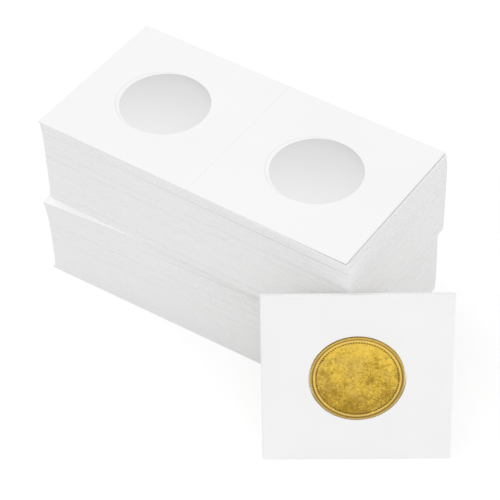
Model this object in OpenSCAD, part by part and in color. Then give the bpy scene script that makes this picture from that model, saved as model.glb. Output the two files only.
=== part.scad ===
// Coin holder flips: two stacked bundles of open flips and one closed flip with a coin.
// An open flip is a white board strip with two die-cut windows and a pressed crease between
// them, and a clear film over its inner face. It folds at the crease, films together, and
// the two windows meet over a coin.
// The origin is on the table under the middle of the stack. +X runs along the open flips,
// +Y away from the closed flip, +Z up.

/* [Flip] */
// Side of one square panel, half of an open flip's length
panel_side = 50.8; // [44:0.1:64]
// Thickness of the white board
board_t = 0.48; // [0.35:0.01:0.7]
// Thickness of the clear film
film_t = 0.06; // [0.04:0.01:0.09]
// Air between the coin's edge and the edge of its window
window_margin = 0.3; // [0.25:0.05:1]
// Width of the pressed crease between the two panels
crease_w = 0.6; // [0.4:0.05:1]
// Depth of the pressed crease
crease_depth = 0.12; // [0.05:0.01:0.2]

/* [Coin] */
// Diameter of the coin
coin_d = 25.4; // [18:0.1:30]
// Thickness of the coin over its rims
coin_t = 1.5; // [1.2:0.05:2]
// Depth of the coin's field below its rim
field_depth = 0.16; // [0.05:0.01:0.25]
// Number of beads round each face
bead_count = 96; // [60:1:120]
// Diameter of one bead
bead_d = 0.44; // [0.3:0.01:0.6]

/* [Stack] */
// Flips in each packet of a bundle
packet_flips = 10; // [4:1:16]
// Air between one flip and the next
air_gap = 0.045; // [0.02:0.005:0.1]
// Step from the top flip to the right edge of the flips below it
top_step = 0.45; // [0:0.05:2]
// Further drift to the right, going down the upper bundle
drift = 0.35; // [0:0.05:2]
// Number of flips over which that drift builds up
drift_flips = 10; // [2:1:30]
// How far the top few flips are pushed forward
push_step = 0.35; // [0:0.05:2]
// Number of flips pushed forward
push_flips = 6; // [1:1:20]
// Turn of the lower bundle's uppermost flip, in degrees
twist_top = 5; // [0:0.1:8]
// Turn of the lower bundle's lowest flip, in degrees
twist_base = 1.6; // [0:0.1:8]
// Number of flips over which the lower bundle turns back
twist_flips = 11; // [2:1:30]
// Distance from the stack's middle to the point on its front edge where the lower bundle turns
twist_reach = 18; // [0:1:40]
// How far the lowest flips step back to the left
foot_step = 1; // [0:0.05:2]
// Number of flips over which that step fades
foot_flips = 2; // [1:1:10]
// Largest stray of a single flip along each side
stray = 0.03; // [0:0.01:0.3]

/* [Closed flip] */
// Lean of the closed flip back from upright, in degrees
lean = 18; // [10:1:40]
// Turn of the closed flip about the vertical, in degrees
turn = 34; // [20:1:60]
// Distance of the closed flip's middle to the right of the stack's front corner
side_offset = 3.4; // [-10:0.1:10]
// Gap between the closed flip's top edge and the stack's front corner
rest_gap = 0.3; // [0.1:0.05:1]
// Gap between the two films of a closed flip
fold_gap = 0.04; // [0.02:0.01:0.1]

/* [Hidden] */
PACKETS = 5;
BUNDLES = ["lower", "upper"];
LAYERS = ["boards", "films"];
function packet_name(bundle, layer, k) = str(bundle, "_", layer, "_", k);

// Segments of the round windows, pockets and coin, and of a single bead
window_segments = 96;
bead_segments = 16;
// Length by which a cutting shape runs past what it cuts
overrun = 0.5;

// Sizes of a flip that follow from the ones above
window_d = coin_d + 2 * window_margin;
half_crease = crease_w / 2;
flip_pitch = board_t + film_t + air_gap;
panel_net = panel_side - half_crease;
half_gap = fold_gap / 2;
closed_half_t = half_gap + film_t + board_t;

// Sizes of the stack
bundle_flips = PACKETS * packet_flips;
stack_flips = 2 * bundle_flips;
top_flip = stack_flips - 1;
top_z = top_flip * flip_pitch;
pushed_turn = -0.25;
stray_turn = 0.03;
// Steps of the waves that place each flip a little off its neighbours, in degrees a flip
stray_step_x = 137.5;
stray_step_y = 222.5;
stray_step_turn = 85;

// A wave fades by this share over its number of flips
function fade(flips, over) = exp(-flips / over);
function from_top(i) = top_flip - i;
function is_upper(i) = i >= bundle_flips;
// Turn of flip i about the vertical, where flip 0 is the lowest
function flip_turn(i) =
    i == top_flip ? 0
    : is_upper(i) ? (from_top(i) < push_flips ? pushed_turn : 0) + stray_turn * sin(stray_step_turn * i)
    : twist_base + (twist_top - twist_base) * fade(bundle_flips - 1 - i, twist_flips);
// Sideways place of flip i
function flip_x(i) =
    i == top_flip ? 0
    : stray * sin(stray_step_x * i)
        + (is_upper(i) ? top_step + drift * (1 - fade(from_top(i), drift_flips))
            : stray - foot_step * fade(i, foot_flips));
// Place of flip i from front to back
function flip_y(i) =
    i == top_flip ? -push_step
    : stray * sin(stray_step_y * i) - (from_top(i) < push_flips ? push_step : 0);
// Point that flip i turns about: the middle, or a point on the lower bundle's front edge
function flip_pivot(i) = is_upper(i) ? [0, 0] : [-twist_reach, -panel_side / 2];
function turned(p, angle) = [p.x * cos(angle) - p.y * sin(angle), p.x * sin(angle) + p.y * cos(angle)];
// Where a point of flip i's own outline lies in the stack
function flip_point(i, p) =
    flip_pivot(i) + turned(p - flip_pivot(i), flip_turn(i)) + [flip_x(i), flip_y(i)];

// Place of the closed flip, from the stack's front corner
viewer_side = [sin(turn), -cos(turn)];
screen_side = [cos(turn), sin(turn)];
front_corner = [panel_side, -panel_side / 2];
corner_reach = max([for (i = [0:top_flip]) flip_point(i, front_corner) * viewer_side]);
closed_forward = corner_reach + rest_gap + panel_side * sin(lean) + closed_half_t * cos(lean);
closed_along = front_corner * screen_side + side_offset - half_crease - panel_side / 2;
closed_floor = viewer_side * closed_forward + screen_side * closed_along;
closed_origin = [closed_floor.x, closed_floor.y, closed_half_t * sin(lean)];
closed_middle = [panel_side / 2, panel_side / 2, 0];

// Sizes of the coin's relief, as shares of its radius
ring_outer_share = 0.935;
ring_inner_share = 0.89;
bead_circle_share = 0.868;
groove_share = 0.955;
rim_share = 0.985;
coin_r = coin_d / 2;
half_coin = coin_t / 2;
field_z = half_coin - field_depth;
// Heights of the flat ring, the beads and the rim's chamfer, as shares of the field's depth
ring_rise_share = 0.6;
bead_rise_share = 0.75;
chamfer_share = 0.5;
ring_z = field_z + ring_rise_share * field_depth;
bead_h = bead_rise_share * field_depth;
coin_chamfer = chamfer_share * field_depth;

// Pocket that the coin presses into the films
pocket_gap = 0.04;
pocket_mouth_r = window_d / 2 - film_t - pocket_gap;
pocket_floor_r = coin_r + pocket_gap;
pocket_depth = half_coin + pocket_gap;

// Flat outline of one open flip, or of one panel to the right of the crease
module strip_outline(from_x, to_x) {
    translate([from_x, -panel_side / 2]) square([to_x - from_x, panel_side]);
}

// Round window in the middle of the panel on one side of the crease
module window_cut(side) {
    translate([side * panel_side / 2, 0, -overrun])
        cylinder(h = board_t + 2 * overrun, d = window_d, $fn = window_segments);
}

// Cut of the pressed crease, open upwards, a shallow V
module crease_cut() {
    rotate([90, 0, 0])
        linear_extrude(height = panel_side + 2 * overrun, center = true)
            polygon([
                [-half_crease, board_t], [0, board_t - crease_depth], [half_crease, board_t],
                [half_crease, board_t + overrun], [-half_crease, board_t + overrun]
            ]);
}

// Whole board of an open flip, its lower face on the ground plane
module open_board() {
    difference() {
        linear_extrude(height = board_t) strip_outline(-panel_side, panel_side);
        window_cut(-1);
        window_cut(1);
        crease_cut();
    }
}

// Whole film of an open flip, on top of its board
module open_film() {
    translate([0, 0, board_t])
        linear_extrude(height = film_t) strip_outline(-panel_side, panel_side);
}

// One panel of board beside the crease, for a flip that folds: side is -1 or 1
module panel_board(side) {
    difference() {
        linear_extrude(height = board_t)
            strip_outline(side < 0 ? -panel_side : half_crease, side < 0 ? -half_crease : panel_side);
        window_cut(side);
    }
}

// One panel of flat film beside the crease
module panel_film(side) {
    translate([0, 0, board_t])
        linear_extrude(height = film_t)
            strip_outline(side < 0 ? -panel_side : half_crease, side < 0 ? -half_crease : panel_side);
}

// Strip of board in the crease of a flip that lies open
module open_crease() {
    intersection() {
        open_board();
        translate([-half_crease, -panel_side, -overrun])
            cube([crease_w, 2 * panel_side, board_t + 2 * overrun]);
    }
}

// Puts its children where flip i of the stack lies
module on_stack(i) {
    pivot = flip_pivot(i);
    translate([pivot.x + flip_x(i), pivot.y + flip_y(i), i * flip_pitch])
        rotate([0, 0, flip_turn(i)])
            translate([-pivot.x, -pivot.y, 0])
                children();
}

// Boards or films of one packet. The topmost flip of all is left out, because it folds.
module packet(bundle, layer, k) {
    first = (bundle == "upper" ? bundle_flips : 0) + (k - 1) * packet_flips;
    last = min(first + packet_flips, top_flip) - 1;
    for (i = [first:last])
        on_stack(i)
            if (layer == "boards") color("white") open_board();
            else color([0.85, 0.9, 0.95, 0.4]) open_film();
}

module top_left_board() {
    color("white") on_stack(top_flip) panel_board(-1);
}

module top_right_board() {
    color("white") on_stack(top_flip) panel_board(1);
}

module top_crease() {
    color("whitesmoke") on_stack(top_flip) open_crease();
}

module top_left_film() {
    color([0.85, 0.9, 0.95, 0.4]) on_stack(top_flip) panel_film(-1);
}

module top_right_film() {
    color([0.85, 0.9, 0.95, 0.4]) on_stack(top_flip) panel_film(1);
}

// Puts its children on the leaning closed flip. There X runs from the crease to the open
// side, Y up the face and Z towards the viewer, and the hinge line is the Y axis.
module on_closed() {
    translate(closed_origin) rotate([90 - lean, 0, turn]) children();
}

// One board of the closed flip: side is 1 in front of the coin and -1 behind it
module closed_board(side) {
    mirror([0, 0, side < 0 ? 1 : 0])
        translate([0, 0, half_gap + film_t])
            difference() {
                translate([half_crease, 0, 0]) cube([panel_net, panel_side, board_t]);
                translate([closed_middle.x, closed_middle.y, -overrun])
                    cylinder(h = board_t + 2 * overrun, d = window_d, $fn = window_segments);
            }
}

// Hollow cup that the coin presses into a film, grown outwards by wall, mouth downwards
module pocket_cup(wall, below) {
    translate(closed_middle)
        rotate_extrude($fn = window_segments)
            polygon([
                [0, half_gap - below], [pocket_mouth_r + wall, half_gap - below],
                [pocket_mouth_r + wall, half_gap], [pocket_floor_r + wall, pocket_depth + wall],
                [0, pocket_depth + wall]
            ]);
}

// One film of the closed flip, drawn out over its face of the coin
module closed_film(side) {
    mirror([0, 0, side < 0 ? 1 : 0])
        difference() {
            union() {
                translate([half_crease, 0, half_gap]) cube([panel_net, panel_side, film_t]);
                pocket_cup(film_t, 0);
            }
            pocket_cup(0, overrun);
        }
}

module closed_rear_board() {
    color("white") on_closed() closed_board(-1);
}

module closed_front_board() {
    color("white") on_closed() closed_board(1);
}

module closed_rear_film() {
    color([0.85, 0.9, 0.95, 0.4]) on_closed() closed_film(-1);
}

module closed_front_film() {
    color([0.85, 0.9, 0.95, 0.4]) on_closed() closed_film(1);
}

// Folded strip of board at the crease: half a ring from one board's edge to the other's
module closed_crease() {
    color("whitesmoke")
        on_closed()
            translate([half_crease, 0, 0])
                rotate([-90, 0, 0])
                    difference() {
                        cylinder(h = panel_side, r = closed_half_t, $fn = window_segments);
                        translate([0, 0, -overrun])
                            cylinder(h = panel_side + 2 * overrun, r = half_gap + film_t, $fn = window_segments);
                        translate([0, -2 * closed_half_t, -overrun])
                            cube([2 * closed_half_t, 4 * closed_half_t, panel_side + 2 * overrun]);
                    }
}

// Half of the coin's outline: rim, groove, flat ring and field, on one face
module coin_profile() {
    polygon([
        [0, 0], [coin_r, 0], [coin_r, half_coin - coin_chamfer], [rim_share * coin_r, half_coin],
        [groove_share * coin_r, half_coin], [groove_share * coin_r, field_z],
        [ring_outer_share * coin_r, ring_z], [ring_inner_share * coin_r, ring_z],
        [ring_inner_share * coin_r, field_z], [0, field_z]
    ]);
}

// One face of the coin, with its circle of beads
module coin_half() {
    rotate_extrude($fn = window_segments) coin_profile();
    for (b = [0:bead_count - 1])
        rotate([0, 0, b * 360 / bead_count])
            translate([bead_circle_share * coin_r, 0, 0])
                cylinder(h = field_z + bead_h, d = bead_d, $fn = bead_segments);
}

module coin() {
    color("goldenrod")
        on_closed()
            translate(closed_middle) {
                coin_half();
                mirror([0, 0, 1]) coin_half();
            }
}

for (bundle = BUNDLES, layer = LAYERS, k = [1:PACKETS])
    packet(bundle, layer, k);
top_left_board();
top_right_board();
top_crease();
top_left_film();
top_right_film();
closed_rear_board();
closed_front_board();
closed_crease();
closed_rear_film();
closed_front_film();
coin();
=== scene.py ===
"""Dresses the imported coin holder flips: two bundles of open ones, and a closed one with a coin.

Lengths in the classes are in millimetres, as in the part's source. Meshes are made in metres,
each one in place, so that its object sits at the origin.
"""

import logging
import math
import random
from dataclasses import dataclass
from enum import Enum
from typing import Iterable, Optional, Sequence

import bmesh
import bpy
from mathutils import Matrix, Vector


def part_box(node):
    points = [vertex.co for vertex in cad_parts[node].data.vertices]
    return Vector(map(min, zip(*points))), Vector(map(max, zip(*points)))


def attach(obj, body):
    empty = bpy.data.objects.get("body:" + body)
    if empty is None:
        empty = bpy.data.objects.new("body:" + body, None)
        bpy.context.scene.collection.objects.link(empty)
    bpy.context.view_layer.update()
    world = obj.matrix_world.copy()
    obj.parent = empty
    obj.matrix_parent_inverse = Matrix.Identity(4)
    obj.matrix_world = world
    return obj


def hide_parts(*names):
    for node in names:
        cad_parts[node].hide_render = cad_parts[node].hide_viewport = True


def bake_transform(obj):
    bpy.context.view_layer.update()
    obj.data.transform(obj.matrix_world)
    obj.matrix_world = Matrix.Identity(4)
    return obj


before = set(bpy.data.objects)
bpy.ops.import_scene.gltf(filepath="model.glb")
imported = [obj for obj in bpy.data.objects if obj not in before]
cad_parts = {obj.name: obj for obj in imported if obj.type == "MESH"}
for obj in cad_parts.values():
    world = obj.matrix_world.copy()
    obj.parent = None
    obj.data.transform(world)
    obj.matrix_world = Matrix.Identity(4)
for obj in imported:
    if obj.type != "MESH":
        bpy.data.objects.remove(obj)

MM = 0.001  # a millimetre, in metres
NEAR = 1e-4  # millimetres within which two places are the same
PLACE = "place"  # attribute with a vertex's position on the flat flip
TONE = "tone"  # attribute with the number that sets a sheet off from the others
PACKETS = 5  # in each bundle
UP = Vector((0, 0, 1))
WHITE = (1.0, 1.0, 1.0, 1.0)

log = logging.getLogger("coin_holder_flips")


class Side(Enum):
    """One of the two panels of a flip, by the side of the crease that it lies on."""

    LEFT = -1
    RIGHT = 1


class Layer(Enum):
    """What a board or film of the closed flip lies on: behind the coin, or in front of it."""

    REAR = -1
    FRONT = 1


class Bundle(Enum):
    """One of the two bundles of the stack, by the word in the names of its pieces."""

    LOWER = "lower"
    UPPER = "upper"


class Contact(Enum):
    """How a flip meets the next: the share of its burr, and how far its film is set back."""

    CLOSE = (1.0, 0.0)
    HALF = (0.5, 0.0)
    AIRY = (0.0, 0.12)
    # Painted shade: this film's front edge is painted dark, as the shade of a gap under the next
    # flip.
    CLEAR = (1.0, 0.01)


@dataclass(frozen=True)
class FlipSizes:
    """Sizes of one flip, all in millimetres, as the part's source has them.

    Args:
        panel_side: Side of one square panel.
        board_t: Thickness of the board.
        film_t: Thickness of the film.
        window_d: Diameter of a window.
        crease_w: Width of the pressed crease.
        crease_depth: Depth of the pressed crease in the board, less than in the source.
        film_dip: How far the film dips over the crease of the topmost flip.
        edge_round: Rounding that the cutting die leaves along the edges of the board.
        stack_round: The same along the boards of the bundles, which press on each other.
        fold_gap: Gap between the two films of a folded flip.
        glue: Thickness of the glue between the board and the film.
        burr: How far the cut edge of a film in a bundle stands up towards the next flip.
    """

    panel_side: float = 50.8
    board_t: float = 0.48
    film_t: float = 0.06
    window_d: float = 26.0
    crease_w: float = 0.6
    crease_depth: float = 0.05
    film_dip: float = 0.012
    edge_round: float = 0.02
    stack_round: float = 0.008
    fold_gap: float = 0.04
    glue: float = 0.003
    burr: float = 0.043

    @property
    def half_crease(self) -> float:
        """Half of the crease's width."""
        return self.crease_w / 2

    @property
    def half_side(self) -> float:
        """Half of a panel's side, where its window has its middle."""
        return self.panel_side / 2


# ---------------------------------------------------------------------------------------
# Materials


@dataclass(frozen=True)
class Grain:
    """A noise pattern on places in millimetres.

    Args:
        scale: How many of its largest cells fit in a millimetre.
        detail: How many finer layers it has.
        roughness: How strong each finer layer is.
    """

    scale: float
    detail: float
    roughness: float


class Graph:
    """The node tree of one material or world, with short calls to add and join its nodes.

    NOISE_SHIFT moves a noise off the origin, where its layers meet. Nearly all of a soft noise lies
    between the two values of CLOUD_SPREAD.
    """

    NOISE_SHIFT = (31.7, 18.3, 7.9)
    CLOUD_SPREAD = (0.3, 0.7)

    def __init__(self, holder: "bpy.types.Material | bpy.types.World") -> None:
        """Empties the holder's node tree and keeps it.

        Args:
            holder: The material or world whose nodes are made.
        """
        holder.use_nodes = True
        self.tree = holder.node_tree
        self.tree.nodes.clear()

    def add(self, kind: str, inputs: Optional[dict] = None, **settings: object) -> bpy.types.Node:
        """Adds a node, sets it and joins its inputs.

        Args:
            kind: The node's type without the words ShaderNode.
            inputs: Values or output sockets, by the name or number of the input.
            **settings: The node's own properties.

        Returns:
            The new node.
        """
        node = self.tree.nodes.new("ShaderNode" + kind)
        for name, value in settings.items():
            setattr(node, name, value)
        for key, value in (inputs or {}).items():
            if isinstance(value, bpy.types.NodeSocket):
                self.tree.links.new(value, node.inputs[key])
            else:
                node.inputs[key].default_value = value
        return node

    def math(self, operation: str, *values: object) -> bpy.types.NodeSocket:
        """Adds a Math node and returns its value."""
        return self.add("Math", dict(enumerate(values)), operation=operation).outputs[0]

    def vector(self, operation: str, *values: object) -> bpy.types.Node:
        """Adds a Vector Math node and returns it."""
        return self.add("VectorMath", dict(enumerate(values)), operation=operation)

    def scaled(
        self, value: object, low: float, high: float, to_low: float, to_high: float,
        kind: str = "SMOOTHSTEP",
    ) -> bpy.types.NodeSocket:
        """Adds a clamped Map Range node, with smooth ends if nothing else is asked for.

        Args:
            value: The socket that is mapped.
            low: Value that gives to_low.
            high: Value that gives to_high.
            to_low: Result at low.
            to_high: Result at high.
            kind: How the value runs between them.

        Returns:
            The mapped value.
        """
        names = {
            "Value": value, "From Min": low, "From Max": high, "To Min": to_low, "To Max": to_high,
        }
        return self.add("MapRange", names, interpolation_type=kind).outputs[0]

    def noise(self, vector: object, grain: Grain) -> bpy.types.NodeSocket:
        """Adds a Noise Texture, whose value is about 0.5.

        Args:
            vector: The place that it reads.
            grain: Its pattern.

        Returns:
            The value of the noise.
        """
        moved = self.vector("ADD", vector, self.NOISE_SHIFT).outputs[0]
        names = {"Vector": moved, "Scale": grain.scale, "Detail": grain.detail}
        return self.add("TexNoise", names | {"Roughness": grain.roughness}).outputs[0]

    def bump(self, height: object, strength: float, distance: float) -> bpy.types.NodeSocket:
        """Adds a Bump node, whose distance is in metres, and returns its normal."""
        names = {"Strength": strength, "Distance": distance, "Height": height}
        return self.add("Bump", names).outputs[0]

    def grey(self, value: object) -> bpy.types.NodeSocket:
        """Makes a grey colour of a brightness."""
        return self.add("CombineColor", {0: value, 1: value, 2: value}).outputs[0]

    def blend(self, share: object, first: object, second: object) -> bpy.types.NodeSocket:
        """Adds a colour Mix node and returns its colour.

        Args:
            share: How much of the second colour shows.
            first: The colour at share 0.
            second: The colour at share 1.

        Returns:
            The mixed colour.
        """
        node = self.add("Mix", {0: share}, data_type="RGBA")
        for number, colour in ((6, first), (7, second)):
            if isinstance(colour, bpy.types.NodeSocket):
                self.tree.links.new(colour, node.inputs[number])
            else:
                node.inputs[number].default_value = (*colour, 1.0)
        return node.outputs[2]

    def place(self) -> bpy.types.NodeSocket:
        """The position on the piece's own flat pattern, in millimetres, from its attribute."""
        return self.add("Attribute", attribute_name=PLACE).outputs["Vector"]

    def tone(self) -> bpy.types.NodeSocket:
        """The number from -1 to 1 that sets one sheet off from the next, from its attribute."""
        return self.add("Attribute", attribute_name=TONE).outputs["Fac"]

    def seen(self) -> bpy.types.NodeSocket:
        """1 to the camera, a gloss or a clear film, and 0 to what only lights the object."""
        path = self.add("LightPath")
        seen = self.math("MAXIMUM", path.outputs["Is Camera Ray"], path.outputs["Is Glossy Ray"])
        return self.math("MAXIMUM", seen, path.outputs["Is Transmission Ray"])

    def show(self, shader: bpy.types.NodeSocket, output: str = "OutputMaterial") -> None:
        """Joins a shader to the tree's output."""
        self.add(output, {"Surface": shader})


@dataclass(frozen=True)
class CardFinish:
    """White uncoated card: fine fibres in its face, and pressed plies in its cut edges.

    Args:
        name: Name of the material.
        shade: Brightness of the card.
        fibre: How much the fibres vary that brightness.
        cut: True for an edge that the die has cut.
        shade_fall: Painted shade: how much darker it gets from left to right along the flip.
        span: The two places along the flip between which it does.
        fibres: Pattern of the fibres.
        clouds: Pattern of the slow drift in brightness.
        plies: Stretch of the fibres on a cut edge, along the sheet and through it.
        sheet_tones: How far one sheet is off the next in brightness, on its face and its cut edge.
        fibre_spread: The noise's values at which a fibre is dark and bright.
        rough: Two values of the fibres' noise, and the roughness at each.
        relief: Strength of the fibres' relief.
        relief_m: Its height, in metres.
        specular: Level of its reflection.
    """

    name: str
    shade: float = 0.93
    fibre: float = 0.012
    cut: bool = False
    shade_fall: float = 0.0
    span: tuple = (25.0, 60.0)
    fibres: Grain = Grain(3.4, 6.0, 0.7)
    clouds: Grain = Grain(0.09, 2.0, 0.4)
    plies: tuple = (0.06, 0.06, 14.0)
    sheet_tones: tuple = (0.003, 0.006)
    fibre_spread: tuple = (0.25, 0.75)
    rough: tuple = (0.2, 0.8, 0.62, 0.86)
    relief: float = 0.35
    relief_m: float = 0.00002
    specular: float = 0.25

    def make(self) -> bpy.types.Material:
        """Makes the material and returns it."""
        material = bpy.data.materials.new(self.name)
        graph = Graph(material)
        place = graph.place()
        stretch = self.plies if self.cut else (1.0, 1.0, 1.0)
        fibres = graph.noise(graph.vector("MULTIPLY", place, stretch).outputs[0], self.fibres)
        colour = graph.grey(self._brightness(graph, place, fibres))
        rough = graph.scaled(fibres, *self.rough)
        bump = graph.bump(fibres, self.relief, self.relief_m)
        names = {"Base Color": colour, "Roughness": rough, "Normal": bump}
        shader = graph.add("BsdfPrincipled", names)
        shader.inputs["Specular IOR Level"].default_value = self.specular
        graph.show(shader.outputs[0])
        return material

    def _brightness(self, graph: Graph, place: object, fibres: object) -> bpy.types.NodeSocket:
        """The card's brightness with its fibres, its drift, its sheet's tone and its painted shade.

        Args:
            graph: The tree that is being made.
            place: The position on the flip.
            fibres: The noise of the fibres.

        Returns:
            The brightness.
        """
        lift = graph.scaled(fibres, *self.fibre_spread, -self.fibre, self.fibre)
        clouds = graph.noise(place, self.clouds)
        drift = graph.scaled(clouds, *graph.CLOUD_SPREAD, -self.fibre / 2, self.fibre / 2)
        face_tone, cut_tone = self.sheet_tones
        sheet = graph.math("MULTIPLY", graph.tone(), cut_tone if self.cut else face_tone)
        grain = graph.math("ADD", lift, drift)
        value = graph.math("ADD", grain, graph.math("ADD", sheet, self.shade))
        # Painted shade: a cut edge darkens from left to right along the flip.
        if self.shade_fall:
            along = graph.add("SeparateXYZ", {0: place}).outputs[0]
            value = graph.math("SUBTRACT", value, graph.scaled(along, *self.span, 0.0, self.shade_fall))
        return value


@dataclass(frozen=True)
class FilmFinish:
    """Clear gloss film that is bonded to white card and bare over the windows.

    Over a stack's windows it is silvery, as many films under each other are, with painted shade
    that darkens it towards a window's far side and its rim.

    Args:
        name: Name of the material.
        haze: Share of the film that is milky over a window.
        card: Brightness of the card under the bonded film.
        drift: How far that brightness drifts down and up.
        clouds: Pattern of the drift.
        window_d: Diameter of the windows.
        spacing: Distance of the windows' middles from the crease.
        soft: Half of the width over which a window's edge blends in.
        bright: Brightness of the milky film at a window's near side, the light end of its painted
            shade.
        shade_level: The darkest of the painted shade, at a window's far side and rim, ring and
            crease.
        far: The way in which the painted shade over a window deepens, and its share at the far
            side.
        corner: The way to the corner at which the painted shade along the rim is darkest.
        corner_share: Share of the radius, that way, from which the painted shade on the rim sets
            in.
        rim: Share of painted shade at the rim away from that corner and at it.
        rim_power: How close to the rim its painted shade stays.
        ring_shift: How far along the flip the ring that a neighbour pressed in is off the window.
        ring_line: Distances from that ring at which its painted shade is full and gone.
        ring_shade: Share of painted shade along the ring.
        crease_w: Width of the pressed line, painted as shade through the film, or 0 where none is.
        crease_shares: Shares of that width at which its painted shade is full and gone.
        crease_shade: Share of painted shade along the line.
        ripple: Pattern of the film's waves.
        gloss: Roughness of the clear film and of the milky one.
        sheen: How soon the gloss grows towards a flat view.
        relief: Strength of the waves.
        relief_m: Their height, in metres.
    """

    name: str
    haze: float
    card: float = 0.93
    drift: tuple = (0.007, 0.005)
    clouds: Grain = Grain(0.03, 2.0, 0.45)
    window_d: float = 26.0
    spacing: float = 25.4
    soft: float = 0.02
    bright: float = 0.905
    shade_level: float = 0.53
    far: tuple = ((-0.35, 0.94, 0.0), 0.5)
    corner: tuple = (0.42, 0.91, 0.0)
    corner_share: float = 0.6
    rim: tuple = (0.06, 0.17)
    rim_power: float = 4.0
    ring_shift: float = 0.0
    ring_line: tuple = (0.09, 0.27)
    ring_shade: float = 0.19
    crease_w: float = 0.0
    crease_shares: tuple = (0.15, 0.5)
    crease_shade: float = 0.07
    ripple: Grain = Grain(0.16, 2.0, 0.4)
    gloss: tuple = (0.08, 0.3)
    sheen: float = 0.12
    relief: float = 0.25
    relief_m: float = 0.0002

    def make(self) -> bpy.types.Material:
        """Makes the material and returns it."""
        material = bpy.data.materials.new(self.name)
        graph = Graph(material)
        colour, height, haze = self._pattern(graph, graph.place())
        bump = graph.bump(height, self.relief, self.relief_m)
        clear_rough, milky_rough = self.gloss
        names = {"Base Color": colour, "Roughness": milky_rough, "Normal": bump}
        milky = graph.add("BsdfPrincipled", names)
        clear = graph.add("BsdfTransparent")
        gloss = graph.add("BsdfGlossy", {"Roughness": clear_rough, "Normal": bump})
        sheen = graph.add("LayerWeight", {"Blend": self.sheen, "Normal": bump}).outputs["Fresnel"]
        outside = graph.math("SUBTRACT", 1.0, graph.add("NewGeometry").outputs["Backfacing"])
        sheen = graph.math("MULTIPLY", sheen, outside)
        skin = graph.add("MixShader", {0: sheen, 1: clear.outputs[0], 2: gloss.outputs[0]})
        film = graph.add("MixShader", {0: haze, 1: skin.outputs[0], 2: milky.outputs[0]})
        graph.show(film.outputs[0])
        return material

    def _pattern(self, graph: Graph, place: object) -> tuple:
        """The colour, the height and the milky share of the film, over the windows and round them.

        Args:
            graph: The tree that is being made.
            place: The position on the flip.

        Returns:
            The colour, the height and the milky share, as sockets.
        """
        x, y = graph.add("SeparateXYZ", {0: place}).outputs[:2]
        along = graph.math("SUBTRACT", graph.math("ABSOLUTE", x), self.spacing)
        across = graph.math("MULTIPLY", along, graph.math("SIGN", x))
        spot = graph.add("CombineXYZ", {0: across, 1: y}).outputs[0]
        out = graph.vector("LENGTH", spot).outputs["Value"]
        radius = self.window_d / 2
        inside = graph.scaled(out, radius - self.soft, radius + self.soft, 1.0, 0.0)
        down, up = self.drift
        clouds = graph.noise(place, self.clouds)
        level = graph.scaled(clouds, *graph.CLOUD_SPREAD, self.card - down, self.card + up)
        white = graph.grey(level)
        colour = graph.blend(inside, white, self._silver_with_painted_shade(graph, spot, out))
        # Painted shade along the ring that a neighbour pressed in, outside the window.
        if self.ring_shift:
            ring = graph.vector("SUBTRACT", spot, (self.ring_shift, 0.0, 0.0)).outputs[0]
            ring = graph.vector("LENGTH", ring).outputs["Value"]
            line = graph.math("ABSOLUTE", graph.math("SUBTRACT", ring, radius))
            shade_mark = graph.scaled(line, *self.ring_line, self.ring_shade, 0.0)
            shade_mark = graph.math("MULTIPLY", shade_mark, graph.math("SUBTRACT", 1.0, inside))
            colour = graph.blend(shade_mark, colour, (self.shade_level,) * 3)
        # Painted shade along the pressed crease.
        if self.crease_w:
            full, gone = (share * self.crease_w for share in self.crease_shares)
            shade_mark = graph.scaled(graph.math("ABSOLUTE", x), full, gone, self.crease_shade, 0.0)
            colour = graph.blend(shade_mark, colour, (self.shade_level,) * 3)
        sag = graph.math("POWER", graph.math("DIVIDE", out, radius), 2.0)
        sag = graph.math("MULTIPLY", inside, sag)
        height = graph.math("ADD", graph.noise(place, self.ripple), sag)
        return colour, height, graph.scaled(inside, 0.0, 1.0, 1.0, self.haze, "LINEAR")

    def _silver_with_painted_shade(self, graph: Graph, spot: object, out: object) -> bpy.types.NodeSocket:
        """The colour of the milky film over a window, with painted shade to its far side and at its
        rim.

        Args:
            graph: The tree that is being made.
            spot: The position from the window's middle.
            out: The distance from there.

        Returns:
            The colour.
        """
        radius = self.window_d / 2
        # Painted shade: the film darkens towards the window's far side, and along its rim towards
        # one corner.
        way, most = self.far
        far = graph.vector("DOT_PRODUCT", spot, way).outputs["Value"]
        shade_fall = graph.scaled(far, -radius, radius, 0.0, most, "LINEAR")
        rim = graph.math("POWER", graph.math("DIVIDE", out, radius), self.rim_power)
        corner = graph.vector("DOT_PRODUCT", spot, self.corner).outputs["Value"]
        rim_share = graph.scaled(corner, self.corner_share * radius, radius, *self.rim)
        level = graph.math("ADD", shade_fall, graph.math("MULTIPLY", rim, rim_share))
        return graph.blend(level, (self.bright,) * 3, (self.shade_level,) * 3)


@dataclass(frozen=True)
class Wash:
    """A colour that lies over the ground where a value is high.

    Args:
        colour: The colour.
        low: The value at which it sets in.
        high: The value from which it is full.
        share: How much of it shows there.
    """

    colour: tuple
    low: float
    high: float
    share: float

    def amount(self, graph: Graph, value: object) -> bpy.types.NodeSocket:
        """How much of the colour shows at a value."""
        return graph.scaled(value, self.low, self.high, 0.0, self.share)

    def over(self, graph: Graph, value: object, ground: object) -> bpy.types.NodeSocket:
        """Lays the colour over the ground by a value, and returns the new ground."""
        return graph.blend(self.amount(graph, value), ground, self.colour)


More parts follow.
